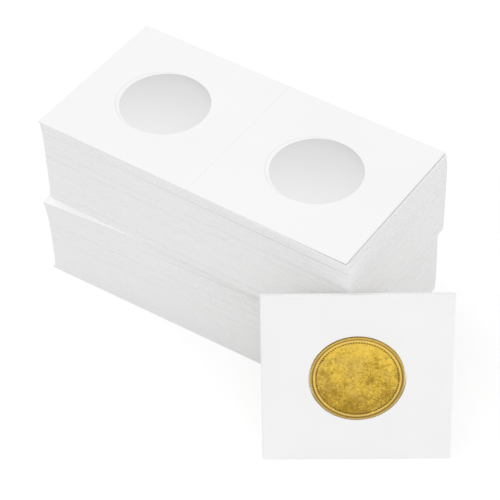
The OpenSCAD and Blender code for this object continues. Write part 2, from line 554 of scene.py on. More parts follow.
@dataclass(frozen=True)
class CoinFinish:
    """Old brass: warm gold, brown patina and painted shade in its hollows, painted light up its
    face and clouds of bright and dull metal.

    Args:
        name: Name of the material.
        radius: Radius of the coin, to which its rings are scaled.
        field: Height of its field above its middle, where patina and painted shade lie between the
            beads.
        clouds: Pattern of the clouds in the metal.
        specks: Pattern of its specks.
        speck_share: How much of the mottle the specks make.
        painted_light_slope: Painted light: how much brighter the mottle gets for each millimetre up
            the face.
        mottle: Values of the mottle that are all dull and all bright.
        dull: Colour of the dull metal.
        bright: Colour of the bright metal.
        hazy: Milky patches, by their own clouds.
        hazy_clouds: Pattern of those patches.
        worn: Metal worn bright from the flat ring outwards, by the share of the radius.
        rim: Brown of the rim, likewise.
        rim_end: Shares of the radius between which that brown fades again.
        rim_rest: How much of it is left at the edge.
        patina_and_shade: Colour of the patina and painted shade in the hollows.
        groove: Radius of the groove as a share, the distances from it at which the darkening is
            full and gone, and how much there is.
        beads: The same for the circle of beads.
        bead_heights: Heights above the field at which the darkening between the beads is full and
            gone.
        metal: How metallic it is.
        rough: Two values of the mottle, and the roughness at each.
        mottle_relief: How much of the relief follows the mottle.
        grain: Pattern of the fine relief.
        relief: Strength of the relief.
        relief_m: Its height, in metres.
    """

    name: str = "coin_brass"
    radius: float = 12.7
    field: float = 0.59
    clouds: Grain = Grain(0.24, 6.0, 0.68)
    specks: Grain = Grain(1.7, 6.0, 0.75)
    speck_share: float = 0.60
    painted_light_slope: float = 0.0075
    mottle: tuple = (0.37, 0.63)
    dull: tuple = (0.345, 0.198, 0.003)
    bright: tuple = (0.88, 0.60, 0.070)
    hazy: Wash = Wash((0.60, 0.41, 0.11), 0.47, 0.70, 0.35)
    hazy_clouds: Grain = Grain(0.16, 3.0, 0.5)
    worn: Wash = Wash((0.86, 0.61, 0.15), 0.885, 0.90, 0.65)
    rim: Wash = Wash((0.34, 0.20, 0.02), 0.925, 0.945, 0.65)
    rim_end: tuple = (0.970, 0.990)
    rim_rest: float = 0.2
    patina_and_shade: tuple = (0.08, 0.035, 0.003)
    groove: tuple = (0.945, 0.005, 0.018, 0.5)
    beads: tuple = (0.868, 0.011, 0.018, 0.95)
    bead_heights: tuple = (0.02, 0.08)
    metal: float = 0.85
    rough: tuple = (0.35, 0.65, 0.52, 0.34)
    mottle_relief: float = 0.8
    grain: Grain = Grain(7.0, 3.0, 0.6)
    relief: float = 0.3
    relief_m: float = 0.00006

    def make(self) -> bpy.types.Material:
        """Makes the material and returns it."""
        material = bpy.data.materials.new(self.name)
        graph = Graph(material)
        place = graph.place()
        flat = graph.vector("MULTIPLY", place, (1.0, 1.0, 0.0)).outputs[0]
        clouds = graph.math("MULTIPLY", graph.noise(flat, self.clouds), 1 - self.speck_share)
        specks = graph.math("MULTIPLY", graph.noise(flat, self.specks), self.speck_share)
        mottle = graph.math("ADD", clouds, specks)
        colour = self._colour(graph, place, flat, mottle)
        rough = graph.scaled(mottle, *self.rough)
        coarse = graph.math("MULTIPLY", mottle, self.mottle_relief)
        grain = graph.math("ADD", coarse, graph.noise(flat, self.grain))
        bump = graph.bump(grain, self.relief, self.relief_m)
        names = {"Base Color": colour, "Metallic": self.metal, "Roughness": rough, "Normal": bump}
        graph.show(graph.add("BsdfPrincipled", names).outputs[0])
        return material

    def _colour(
        self, graph: Graph, place: object, flat: object, mottle: object,
    ) -> bpy.types.NodeSocket:
        """The colour of the metal: patina, painted light up its face, painted shade in its hollows.

        Args:
            graph: The tree that is being made.
            place: The position on the coin.
            flat: The same without its height.
            mottle: The noise of clouds and specks.

        Returns:
            The colour.
        """
        split = graph.add("SeparateXYZ", {0: place})
        share = graph.math("DIVIDE", graph.vector("LENGTH", flat).outputs["Value"], self.radius)
        # Painted light: the mottle gets brighter up the face.
        painted_light_slope = graph.math("MULTIPLY", split.outputs[1], self.painted_light_slope)
        ground = graph.scaled(graph.math("ADD", mottle, painted_light_slope), *self.mottle, 0.0, 1.0)
        ground = graph.blend(ground, self.dull, self.bright)
        ground = self.hazy.over(graph, graph.noise(flat, self.hazy_clouds), ground)
        ground = self.worn.over(graph, share, ground)
        fade = graph.scaled(share, *self.rim_end, 1.0, self.rim_rest)
        rim = graph.math("MULTIPLY", self.rim.amount(graph, share), fade)
        ground = graph.blend(rim, ground, self.rim.colour)
        height = graph.math("ABSOLUTE", split.outputs[2])
        low, high = (self.field + above for above in self.bead_heights)
        between = graph.scaled(height, low, high, 1.0, 0.0)
        # Patina with painted shade: darker in the groove and between the beads, below the beads'
        # tops.
        low_patina_and_shade = graph.math("MULTIPLY", self._patina_and_shade(graph, share, self.beads), between)
        patina_and_shade = graph.math("MAXIMUM", self._patina_and_shade(graph, share, self.groove), low_patina_and_shade)
        return graph.blend(patina_and_shade, ground, self.patina_and_shade)

    @staticmethod
    def _patina_and_shade(graph: Graph, share: object, ring: tuple) -> bpy.types.NodeSocket:
        """How much patina and painted shade lie along a ring.

        Args:
            graph: The tree that is being made.
            share: The distance from the coin's middle as a share of its radius.
            ring: The ring's own share, where its darkening is full and gone, and how much there is.

        Returns:
            The amount of dirt.
        """
        middle, full, gone, most = ring
        away = graph.math("ABSOLUTE", graph.math("SUBTRACT", share, middle))
        return graph.scaled(away, full, gone, most, 0.0)


# ---------------------------------------------------------------------------------------
# Mesh work shared by the sub-assemblies


def put(name: str, data: bpy.types.ID) -> bpy.types.Object:
    """Makes an object of a mesh, a lamp or a camera, and puts it in the scene."""
    thing = bpy.data.objects.new(name, data)
    bpy.context.scene.collection.objects.link(thing)
    return thing


class Mould:
    """One mesh in the making, in millimetres, that ends as a placed piece.

    A rim is an edge that is bent by more than RIM_ANGLE, in radians, and an edge stays crisp from
    SHARP_ANGLE, in degrees. A wall is a face whose normal rises or falls by less than WALL.
    """

    RIM_ANGLE = 1.0
    SHARP_ANGLE = 25.0
    WALL = 0.5

    def __init__(self) -> None:
        """Starts an empty mesh with the layers that the materials read."""
        self.bm = bmesh.new()
        self.place = self.bm.verts.layers.float_vector.new(PLACE)
        self.tone = self.bm.verts.layers.float.new(TONE)

    def everything(self) -> list:
        """All vertices, edges and faces."""
        return self.bm.verts[:] + self.bm.edges[:] + self.bm.faces[:]

    def outline(self, low: Vector, high: Vector) -> list:
        """Adds the four edges of an upright rectangle in the ground plane.

        Args:
            low: Its lowest corner.
            high: Its highest corner.

        Returns:
            The edges.
        """
        size, middle = high - low, (low + high) / 2
        matrix = Matrix.Translation((*middle.xy, 0)) @ Matrix.Diagonal((size.x, size.y, 1, 1))
        made = bmesh.ops.create_grid(self.bm, x_segments=1, y_segments=1, size=0.5, matrix=matrix)
        edges = list({edge for vert in made["verts"] for edge in vert.link_edges})
        faces = list({face for vert in made["verts"] for face in vert.link_faces})
        bmesh.ops.delete(self.bm, geom=faces, context="FACES_ONLY")
        return edges

    def ring(self, middle: Vector, diameter: float, segments: int) -> list:
        """Adds a circle in the ground plane and returns its edges.

        Args:
            middle: Its middle.
            diameter: Its diameter.
            segments: How many edges it has.

        Returns:
            The edges.
        """
        made = bmesh.ops.create_circle(
            self.bm, cap_ends=False, segments=segments, radius=diameter / 2,
            matrix=Matrix.Translation(middle),
        )
        return list({edge for vert in made["verts"] for edge in vert.link_edges})

    def grow(self, faces: list, way: Vector) -> None:
        """Extrudes faces by a vector, and turns all faces outwards."""
        grown = bmesh.ops.extrude_face_region(self.bm, geom=faces)["geom"]
        risen = [item for item in grown if isinstance(item, bmesh.types.BMVert)]
        bmesh.ops.translate(self.bm, verts=risen, vec=way)
        bmesh.ops.recalc_face_normals(self.bm, faces=self.bm.faces)

    def slab(self, edges: list, thickness: float) -> None:
        """Fills between closed outlines and raises the fill to a sheet.

        Args:
            edges: The edges of the outlines, holes among them.
            thickness: Thickness of the sheet.
        """
        filled = bmesh.ops.triangle_fill(self.bm, use_beauty=True, edges=edges, normal=UP)["geom"]
        faces = [item for item in filled if isinstance(item, bmesh.types.BMFace)]
        self.grow(faces, UP * thickness)

    def cut_across(self, places: Iterable[float]) -> None:
        """Cuts the mesh by planes across the X axis."""
        for x in places:
            bmesh.ops.bisect_plane(
                self.bm, geom=self.everything(), plane_co=(x, 0, 0), plane_no=(1, 0, 0),
            )

    def round_rims(self, radius: float, keep_sharp: Optional[float] = None) -> None:
        """Rounds the edges between the sheet's faces and its walls.

        Args:
            radius: Size of the rounding.
            keep_sharp: X of a wall that joins another piece, whose edges stay as they are.
        """
        rims = []
        for edge in self.bm.edges:
            flat = abs(edge.verts[0].co.z - edge.verts[1].co.z) < NEAR
            corner = len(edge.link_faces) == 2 and edge.calc_face_angle() > self.RIM_ANGLE
            joint = keep_sharp is not None and all(
                abs(vert.co.x - keep_sharp) < NEAR for vert in edge.verts
            )
            if flat and corner and not joint:
                rims.append(edge)
        bmesh.ops.bevel(
            self.bm, geom=rims, offset=radius, offset_type="OFFSET", segments=1, profile=0.5,
            affect="EDGES", material=-1, clamp_overlap=True,
        )

    def mark_places(self) -> None:
        """Writes each vertex's position on the flip into the layer that the patterns read."""
        for vert in self.bm.verts:
            vert[self.place] = vert.co

    def shade(self, angle: float = SHARP_ANGLE) -> None:
        """Shades the faces smooth up to an angle, in degrees, and leaves sharper edges crisp."""
        for face in self.bm.faces:
            face.smooth = True
        for edge in self.bm.edges:
            edge.smooth = edge.calc_face_angle(0) < math.radians(angle)

    def cut_slot(self) -> None:
        """Gives the walls, whose normals lie flat, the second material."""
        for face in self.bm.faces:
            face.material_index = 1 if abs(face.normal.z) < self.WALL else 0

    def turn(self, matrix: Matrix) -> None:
        """Moves the whole mesh, and turns its faces back outwards after a mirror."""
        bmesh.ops.transform(self.bm, matrix=matrix, verts=self.bm.verts)
        if matrix.determinant() < 0:
            bmesh.ops.reverse_faces(self.bm, faces=self.bm.faces)

    def add_copy(self, mesh: bpy.types.Mesh, matrix: Matrix, tone: float) -> None:
        """Adds a copy of a finished mesh.

        Args:
            mesh: The mesh, with this class's layers.
            matrix: Where the copy goes, in millimetres.
            tone: The number that sets this copy off from the others.
        """
        copy = mesh.copy()
        copy.transform(matrix)
        copy.attributes[TONE].data.foreach_set("value", [tone] * len(copy.vertices))
        self.bm.from_mesh(copy)
        bpy.data.meshes.remove(copy)

    def to_mesh(self, name: str, unit: float = 1.0) -> bpy.types.Mesh:
        """Ends the mesh, scaled by a unit, and returns it."""
        bmesh.ops.scale(self.bm, vec=(unit, unit, unit), verts=self.bm.verts)
        mesh = bpy.data.meshes.new(name)
        self.bm.to_mesh(mesh)
        self.bm.free()
        return mesh

    def to_piece(
        self, name: str, materials: Sequence[bpy.types.Material], nodes: Iterable[str], slot: str,
    ) -> bpy.types.Object:
        """Ends the mesh as an object that stands for CAD nodes.

        Args:
            name: Name of the piece.
            materials: Its materials, in the order of its slots.
            nodes: The CAD nodes that it stands for.
            slot: Not used.

        Returns:
            The object, at the origin.
        """
        piece = put(name, self.to_mesh(name, MM))
        for material in materials:
            piece.data.materials.append(material)
        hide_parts(*nodes)
        log.info("%s: %d faces, stands for %s", name, len(piece.data.polygons), ", ".join(nodes))
        return piece


@dataclass
class FlipMaker:
    """Makes the boards and films of a flip, flat, with the crease on the Y axis.

    Args:
        sizes: Sizes of the flip.
        segments: Segments of a window's circle.
    """

    sizes: FlipSizes
    segments: int = 64

    def panel_ends(self, side: Side) -> tuple:
        """The lowest and highest corner of one panel in plan."""
        s = self.sizes
        near, far = s.half_crease * side.value, s.panel_side * side.value
        return Vector((min(near, far), -s.half_side, 0)), Vector((max(near, far), s.half_side, 0))

    def window(self, mould: Mould, side: Side) -> list:
        """Adds the outline of one panel's window to a mesh and returns its edges."""
        s = self.sizes
        return mould.ring(Vector((side.value * s.half_side, 0, 0)), s.window_d, self.segments)

    def whole_board(self) -> Mould:
        """The board of a flip that lies open, with both windows and the pressed crease."""
        s = self.sizes
        mould = Mould()
        high = Vector((s.panel_side, s.half_side, 0))
        edges = mould.outline(-high, high)
        for side in Side:
            edges += self.window(mould, side)
        mould.slab(edges, s.board_t)
        mould.round_rims(s.stack_round)
        mould.cut_across((-s.half_crease, 0.0, s.half_crease))
        for vert in mould.bm.verts:
            if abs(vert.co.x) < NEAR and vert.co.z > s.board_t / 2:
                vert.co.z -= s.crease_depth
        return self._finished(mould)

    def panel_board(self, side: Side) -> Mould:
        """The board of one panel, with its window, that ends at the crease."""
        s = self.sizes
        mould = Mould()
        edges = mould.outline(*self.panel_ends(side)) + self.window(mould, side)
        mould.slab(edges, s.board_t)
        mould.round_rims(s.edge_round, keep_sharp=side.value * s.half_crease)
        return self._finished(mould)

    def whole_film(self, contact: Contact) -> Mould:
        """The film over both panels of a flip that lies open, as it meets the next flip.

        Args:
            contact: How it meets the next flip. For the contact that draws a line, the front edge
                has the
            third material, a dark line of painted shade.

        Returns:
            The film.
        """
        s = self.sizes
        press, back = contact.value
        high = Vector((s.panel_side - back, s.half_side - back, 0))
        mould = self._film(-high, high, s.film_t + press * s.burr)
        # Painted shade: the front edge of this film gets the dark third material.
        if contact is Contact.CLEAR:
            for face in mould.bm.faces:
                face.material_index += 1 if face.normal.y < -mould.WALL else 0
        return mould

    def panel_film(self, side: Side) -> Mould:
        """The film over one panel."""
        return self._film(*self.panel_ends(side), self.sizes.film_t)

    def _film(self, low: Vector, high: Vector, thickness: float) -> Mould:
        """A flat film between two corners, on top of the board."""
        s = self.sizes
        mould = Mould()
        mould.slab(mould.outline(low, high), thickness - s.glue)
        bmesh.ops.translate(mould.bm, verts=mould.bm.verts, vec=UP * (s.board_t + s.glue))
        return self._finished(mould)

    @staticmethod
    def _finished(mould: Mould) -> Mould:
        """Gives a board or a film its places, its cut edges and its shading."""
        mould.mark_places()
        mould.cut_slot()
        mould.shade()
        return mould


# ---------------------------------------------------------------------------------------
# Sub-assemblies


def card_sides(finishes: dict, edge: str = "card_edge") -> tuple:
    """The two materials of a board: its faces and its cut edges."""
    return finishes["card"], finishes[edge]


def film_sides(finishes: dict, name: str) -> tuple:
    """The two materials of a film: its faces, and the cut edges that look white from the side."""
    return finishes[name], finishes["film_edge"]


@dataclass(frozen=True)
class SheetPlace:
    """Where one open flip lies in the stack, in millimetres and radians.

    Args:
        x: Place of its middle along the stack.
        y: Place of its middle from front to back.
        z: Height of its lower face.
        yaw: Its turn about the vertical.
    """

    x: float
    y: float
    z: float
    yaw: float

    def matrix(self) -> Matrix:
        """The matrix that puts a flat flip there."""
        return Matrix.Translation((self.x, self.y, self.z)) @ Matrix.Rotation(self.yaw, 4, "Z")


@dataclass
class Packet:
    """A packet of open flips: the boards in one piece and their films in another.

    Args:
        bundle: Which bundle it lies in.
        number: Its number in the bundle, from below.
        flips: How many flips a packet holds.
        least_pitch: Less than the height from one board to the next, and more than a board's own.
        clear: The flips, by height in the stack, whose film's front edge has a dark line of painted
            shade.
        airy: Those that the next flip doesn't press on.
        half_airy: Those that it presses on a little.
        seed: Seed of the sheets' tones.
    """

    bundle: Bundle
    number: int
    flips: int = 10
    least_pitch: float = 0.55
    clear: tuple = (42, 92)
    airy: tuple = (32, 53, 82, 95)
    half_airy: tuple = (4, 13, 22, 28, 37, 45, 57, 68, 77, 86, 97)
    seed: int = 1100

    def contact(self, height: int) -> Contact:
        """How the next flip lies on the flip at a height."""
        if height in self.clear:
            return Contact.CLEAR
        if height in self.airy:
            return Contact.AIRY
        return Contact.HALF if height in self.half_airy else Contact.CLOSE

    def places(self) -> list:
        """Reads from the CAD node where each of the packet's flips lies."""
        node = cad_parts[f"{self.bundle.value}_boards_{self.number}"]
        levels: dict = {}
        for vert in node.data.vertices:
            levels.setdefault(round(vert.co.z / MM, 2), []).append(vert.co / MM)
        found: list = []
        for z in sorted(levels):
            if found and z - found[-1].z < self.least_pitch:
                continue
            corners = [
                max(levels[z], key=lambda p, a=a, b=b: a * p.x + b * p.y)
                for a, b in ((1, 1), (1, -1), (-1, 1), (-1, -1))
            ]
            right, left = (corners[0] + corners[1]) / 2, (corners[2] + corners[3]) / 2
            middle, run = (right + left) / 2, right - left
            found.append(SheetPlace(middle.x, middle.y, z, math.atan2(run.y, run.x)))
        return found

    def build(self, board: bpy.types.Mesh, film: dict, finishes: dict) -> None:
        """Makes the packet's two pieces.

        Args:
            board: The mesh of one board.
            film: The meshes of one film, by how the next flip lies on it.
            finishes: The materials, by name.
        """
        below = self.number - 1 + (PACKETS if self.bundle is Bundle.UPPER else 0)
        base = self.flips * below
        rng = random.Random(self.seed + base)
        boards, films = Mould(), Mould()
        for height, place in enumerate(self.places(), base):
            tone = rng.uniform(-1, 1)
            boards.add_copy(board, place.matrix(), tone)
            films.add_copy(film[self.contact(height)], place.matrix(), tone)
        word = self.bundle.value
        body = f"{word}_packet_{self.number}"
        node = f"{word}_boards_{self.number}"
        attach(boards.to_piece(f"{node}_card", card_sides(finishes), [node], "board"), body)
        node = f"{word}_films_{self.number}"
        # The third material paints a dark line of shade on some films' front edges.
        sheet = (*film_sides(finishes, "film"), finishes["film_line"])
        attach(films.to_piece(f"{node}_sheet", sheet, [node], "film"), body)


@dataclass
class TopFlip:
    """The topmost open flip, which folds at its crease.

    Args:
        sizes: Sizes of the flip.
        segments: Segments of its windows.
        strips: Strips across the crease.
    """

    sizes: FlipSizes
    segments: int = 128
    strips: int = 8

    def place(self) -> SheetPlace:
        """Reads from the CAD nodes where the flip lies."""
        left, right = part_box("top_left_board")[0] / MM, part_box("top_right_board")[1] / MM
        return SheetPlace((left.x + right.x) / 2, (left.y + right.y) / 2, left.z, 0.0)

    def build(self, finishes: dict) -> None:
        """Makes the two panels, their films and the strip of card in the crease."""
        place = self.place()
        maker = FlipMaker(self.sizes, self.segments)
        # The top flip's cut edges carry painted shade, darker towards its right end.
        card = card_sides(finishes, "card_edge_top_painted_shade")
        sheet = film_sides(finishes, "film_top")
        for side in Side:
            word = side.name.lower()
            body = f"top_flip_{word}"
            board, film = maker.panel_board(side), maker.panel_film(side)
            for mould in (board, film):
                mould.turn(place.matrix())
            nodes = [[f"top_{word}_{sort}"] for sort in ("board", "film")]
            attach(board.to_piece(f"top_{word}_card", card, nodes[0], "board"), body)
            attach(film.to_piece(f"top_{word}_sheet", sheet, nodes[1], "film"), body)
        self._crease(place, (finishes["film_crease"], finishes["card_edge_top_painted_shade"], finishes["card"]))

    def _crease(self, place: SheetPlace, pressed: tuple) -> None:
        """Makes the pressed strip between the panels, film and all.

        Args:
            place: Where the flip lies.
            pressed: The materials of its top, its ends and its underside.
        """
        s = self.sizes
        mould = Mould()
        high = Vector((s.half_crease, s.half_side, 0))
        mould.slab(mould.outline(-high, high), s.board_t + s.film_t)
        cuts = (s.crease_w * step / self.strips for step in range(1, self.strips))
        mould.cut_across(cut - s.half_crease for cut in cuts)
        for vert in mould.bm.verts:
            if vert.co.z > s.board_t / 2:
                vert.co.z -= s.film_dip * (1 - abs(vert.co.x) / s.half_crease)
        mould.mark_places()
        mould.cut_slot()
        for face in mould.bm.faces:
            if face.normal.z < -mould.WALL:
                face.material_index = 2
        mould.shade()
        mould.turn(place.matrix())
        strip = mould.to_piece("top_crease_card", pressed, ["top_crease"], "board")
        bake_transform(strip)


@dataclass
class ClosedFlip:
    """The folded flip that leans on the stack with a coin in its windows.

    Args:
        sizes: Sizes of the flip.
        lean: Lean back from upright, in degrees.
        turn: Turn about the vertical, in degrees.
        hinge: Foot of the hinge line.
        coin_r: Radius of the coin.
        coin_half_t: Half of the coin's thickness.
        pocket_gap: Air between the coin and the film drawn over it.
        lip: How much wider than the pocket's mouth the ring is at which the flat film ends.
        wall_foot: Height at which the pocket's wall starts.
        corner: Points of the soft edge of the pocket's floor: how far past the coin's gap each one
            lies, and how far short of the floor.
        middle_share: Share of the floor's radius where its flat middle starts.
        film_sharp: Angle, in degrees, from which an edge of the film stays crisp.
        segments: Segments of its windows.
        fold_steps: Steps of the fold.
    """

    sizes: FlipSizes
    lean: float = 18.0
    turn: float = 34.0
    hinge: tuple = (41.9825, -52.2064, 0.17305)
    coin_r: float = 12.7
    coin_half_t: float = 0.75
    pocket_gap: float = 0.04
    lip: float = 0.2
    wall_foot: float = 0.04
    corner: tuple = ((0.03, 0.1), (-0.04, 0.02), (-0.3, 0.0))
    middle_share: float = 0.6
    film_sharp: float = 50.0
    segments: int = 128
    fold_steps: int = 24

    def matrix(self) -> Matrix:
        """Puts a flat panel there: X away from the crease, Y up the face and Z to the viewer."""
        turned = Matrix.Rotation(math.radians(self.turn), 4, "Z")
        leant = Matrix.Rotation(math.radians(90 - self.lean), 4, "X")
        return Matrix.Translation(self.hinge) @ turned @ leant

    def side_matrix(self, layer: Layer) -> Matrix:
        """The matrix of the front, or that of the rear, which is its mirror image."""
        return self.matrix() @ Matrix.Diagonal((1, 1, layer.value, 1))

    def build(self, finishes: dict) -> None:
        """Makes the boards, the drawn films and the folded strip of card."""
        card, sheet = card_sides(finishes), film_sides(finishes, "film_clear")
        for layer in Layer:
            word = layer.name.lower()
            body = f"closed_flip_{word}"
            board, film = self._board(), self._film()
            for mould in (board, film):
                mould.turn(self.side_matrix(layer))
            nodes = [[f"closed_{word}_{sort}"] for sort in ("board", "film")]
            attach(board.to_piece(f"closed_{word}_card", card, nodes[0], "board"), body)
            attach(film.to_piece(f"closed_{word}_sheet", sheet, nodes[1], "film"), body)
        self._fold(card)

    def _board(self) -> Mould:
        """The front board, flat, with its foot on the X axis."""
        s = self.sizes
        mould = FlipMaker(s, self.segments).panel_board(Side.RIGHT)
        lift = (0, s.half_side, s.fold_gap / 2 + s.film_t)
        bmesh.ops.translate(mould.bm, verts=mould.bm.verts, vec=lift)
        return mould

    def _film(self) -> Mould:
        """The front film, drawn out into a shallow pocket over the coin."""
        s = self.sizes
        mould = Mould()
        mouth = s.window_d / 2 - s.film_t - self.pocket_gap
        middle = Vector((s.half_side, 0, 0))
        rim = mould.ring(middle, 2 * mouth + self.lip, self.segments)
        edges = mould.outline(*FlipMaker(s).panel_ends(Side.RIGHT)) + rim
        bmesh.ops.triangle_fill(mould.bm, use_beauty=True, edges=edges, normal=UP)
        depth = self.coin_half_t + self.pocket_gap - s.fold_gap / 2
        floor = self.coin_r + self.pocket_gap
        steps = [(mouth, self.wall_foot)]
        steps += [(floor + past, depth - short) for past, short in self.corner]
        steps += [(floor * self.middle_share, depth)]
        for radius, height in steps:
            rim = self._draw(mould, rim, middle, radius, height)
        bmesh.ops.contextual_create(mould.bm, geom=rim)
        bmesh.ops.recalc_face_normals(mould.bm, faces=mould.bm.faces)
        if sum(face.normal.z * face.calc_area() for face in mould.bm.faces) < 0:
            bmesh.ops.reverse_faces(mould.bm, faces=mould.bm.faces)
        bmesh.ops.solidify(mould.bm, geom=mould.bm.faces[:], thickness=s.glue - s.film_t)
        bmesh.ops.recalc_face_normals(mould.bm, faces=mould.bm.faces)
        mould.mark_places()
        mould.shade(self.film_sharp)
        bmesh.ops.translate(mould.bm, verts=mould.bm.verts, vec=(0, s.half_side, s.fold_gap / 2))
        return mould

    @staticmethod
    def _draw(mould: Mould, rim: list, middle: Vector, radius: float, height: float) -> list:
        """Draws the open rim of the film on to the pocket's next ring.

        Args:
            mould: The film.
            rim: The edges of its open rim.
            middle: Middle of the pocket.
            radius: Radius of the next ring.
            height: Its height.

        Returns:
            The edges of the new rim.
        """
        grown = bmesh.ops.extrude_edge_only(mould.bm, edges=rim)["geom"]
        for item in grown:
            if isinstance(item, bmesh.types.BMVert):
                out = (item.co - middle).xy.normalized() * radius
                item.co = Vector((middle.x + out.x, middle.y + out.y, height))
        return [item for item in grown if isinstance(item, bmesh.types.BMEdge)]

    def _fold(self, card: tuple) -> None:
        """Makes the strip of card round the fold."""
        s = self.sizes
        inner = s.fold_gap / 2 + s.film_t
        outer = inner + s.board_t
        mould = Mould()
        ends = [mould.bm.verts.new((s.half_crease, 0, -radius)) for radius in (outer, inner)]
        edge = mould.bm.edges.new(ends)
        bmesh.ops.spin(
            mould.bm, geom=ends + [edge], cent=(s.half_crease, 0, 0), axis=(0, 1, 0),
            angle=math.pi, steps=self.fold_steps, use_merge=False, use_duplicate=False,
        )
        mould.grow(mould.bm.faces[:], Vector((0, s.panel_side, 0)))
        mould.mark_places()
        mould.shade()
        mould.turn(self.matrix())
        strip = mould.to_piece("closed_fold_card", card, ["closed_crease"], "board")
        start, end = (
            self.matrix() @ Vector((s.half_crease, s.half_side, layer.value * outer)) * MM
            for layer in Layer
        )
        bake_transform(strip)


@dataclass
class Coin:
    """The blank coin: a rounded rim, a groove, a flat ring, a circle of beads and a plain field.

    Args:
        flip: The closed flip that holds it.
        field_depth: Depth of the field below the rim.
        profile_shares: Points of one face's outline from the middle out: the radius as a share of
            the coin's, and the height above the field as a share of its depth.
        beads: Number of beads on each face.
        bead_d: Diameter of a bead.
        bead_ring_share: Radius of their circle, as a share of the coin's.
        bead_flat: Height of a bead, as a share of a full half ball.
        bead_segments: Segments round a bead and up it.
        steps: Steps of the turned shape, two for each reed of its edge.
        reed_share: Depth of a reed, as a share of the radius.
        edge_share: Share of the radius past which a vertex lies on the reeded edge.
        sharp: Angle, in degrees, from which an edge stays crisp.
    """

    flip: ClosedFlip
    field_depth: float = 0.16
    profile_shares: tuple = (
        (0.0, 0.0), (0.45, 0.0), (0.80, 0.0), (0.886, 0.0), (0.892, 0.5375), (0.897, 0.6),
        (0.928, 0.6), (0.934, 0.525), (0.940, 0.0), (0.951, 0.0), (0.957, 0.875), (0.963, 1.0),
        (0.986, 1.0), (0.995, 0.8125), (1.0, 0.4375),
    )
    beads: int = 96
    bead_d: float = 0.44
    bead_ring_share: float = 0.868
    bead_flat: float = 0.55
    bead_segments: tuple = (10, 6)
    steps: int = 240
    reed_share: float = 0.006
    edge_share: float = 0.9995
    sharp: float = 40.0

    @property
    def field(self) -> float:
        """Height of the field above the coin's middle."""
        return self.flip.coin_half_t - self.field_depth

    def build(self, finishes: dict) -> None:
        """Makes the coin."""
        mould = Mould()
        upper = [
            (radius * self.flip.coin_r, self.field + height * self.field_depth)
            for radius, height in self.profile_shares
        ]
        outline = upper + [(radius, -height) for radius, height in reversed(upper)]
        verts = [mould.bm.verts.new((radius, 0, height)) for radius, height in outline]
        edges = [mould.bm.edges.new(pair) for pair in zip(verts, verts[1:])]
        bmesh.ops.spin(
            mould.bm, geom=verts + edges, cent=(0, 0, 0), axis=UP, angle=math.tau,
            steps=self.steps, use_merge=True, use_duplicate=False,
        )
        bmesh.ops.remove_doubles(mould.bm, verts=mould.bm.verts, dist=NEAR)
        for vert in mould.bm.verts:
            step = round(math.atan2(vert.co.y, vert.co.x) / math.tau * self.steps)
            if vert.co.xy.length > self.edge_share * self.flip.coin_r and step % 2:
                vert.co.xy *= 1 - self.reed_share
        bmesh.ops.recalc_face_normals(mould.bm, faces=mould.bm.faces)
        self._add_beads(mould)
        mould.mark_places()
        mould.shade(self.sharp)
        s = self.flip.sizes
        mould.turn(self.flip.matrix() @ Matrix.Translation((s.half_side, s.half_side, 0)))
        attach(mould.to_piece("coin_brass", [finishes["coin"]], ["coin"], "coin"), "coin")

    def _add_beads(self, mould: Mould) -> None:
        """Adds the circle of beads on both faces, each a low dome."""
        circle = Mould()
        place = Matrix.Translation((self.bead_ring_share * self.flip.coin_r, 0, 0))
        around, upward = self.bead_segments
        bmesh.ops.create_uvsphere(
            circle.bm, u_segments=around, v_segments=upward, radius=self.bead_d / 2,
            matrix=place @ Matrix.Diagonal((1, 1, self.bead_flat, 1)),
        )
        bmesh.ops.spin(
            circle.bm, geom=circle.everything(), cent=(0, 0, 0), axis=UP, use_duplicate=True,
            angle=math.tau * (self.beads - 1) / self.beads, steps=self.beads - 1,
        )
        ring = circle.to_mesh("bead_circle")
        for face in (-1, 1):
            mould.add_copy(ring, Matrix.Translation((0, 0, face * self.field)), 0.0)


# ---------------------------------------------------------------------------------------
# Studio


def direction(azimuth: float, elevation: float) -> Vector:
    """The way from the object to a lamp or the camera.

    Args:
        azimuth: Degrees round the object, where 0 is in front.
        elevation: Degrees above the horizon.

    Returns:
        A vector of length 1.
    """
    a, e = math.radians(azimuth), math.radians(elevation)
    return Vector((math.sin(a) * math.cos(e), -math.cos(a) * math.cos(e), math.sin(e)))


@dataclass(frozen=True)
class SoftBox:
    """A square area lamp that is aimed at a point.

    Args:
        name: Its name.
        azimuth: Direction from the object, in degrees, where 0 is in front.
        elevation: Its height above the horizon, in degrees.
        power: Its power, in watts.
        distance: Its distance from the object, in metres.
        size: Its side, in metres.
    """

    name: str
    azimuth: float
    elevation: float
    power: float
    distance: float = 2.0
    size: float = 1.1

    def build(self, target: Vector) -> None:
        """Makes the lamp and aims it at the target."""
        data = bpy.data.lights.new(self.name, "AREA")
        data.shape, data.size, data.energy = "SQUARE", self.size, self.power
        lamp = put(self.name, data)
        back = direction(self.azimuth, self.elevation)
        lamp.location = target + back * self.distance
        lamp.rotation_euler = back.to_track_quat("Z", "Y").to_euler()


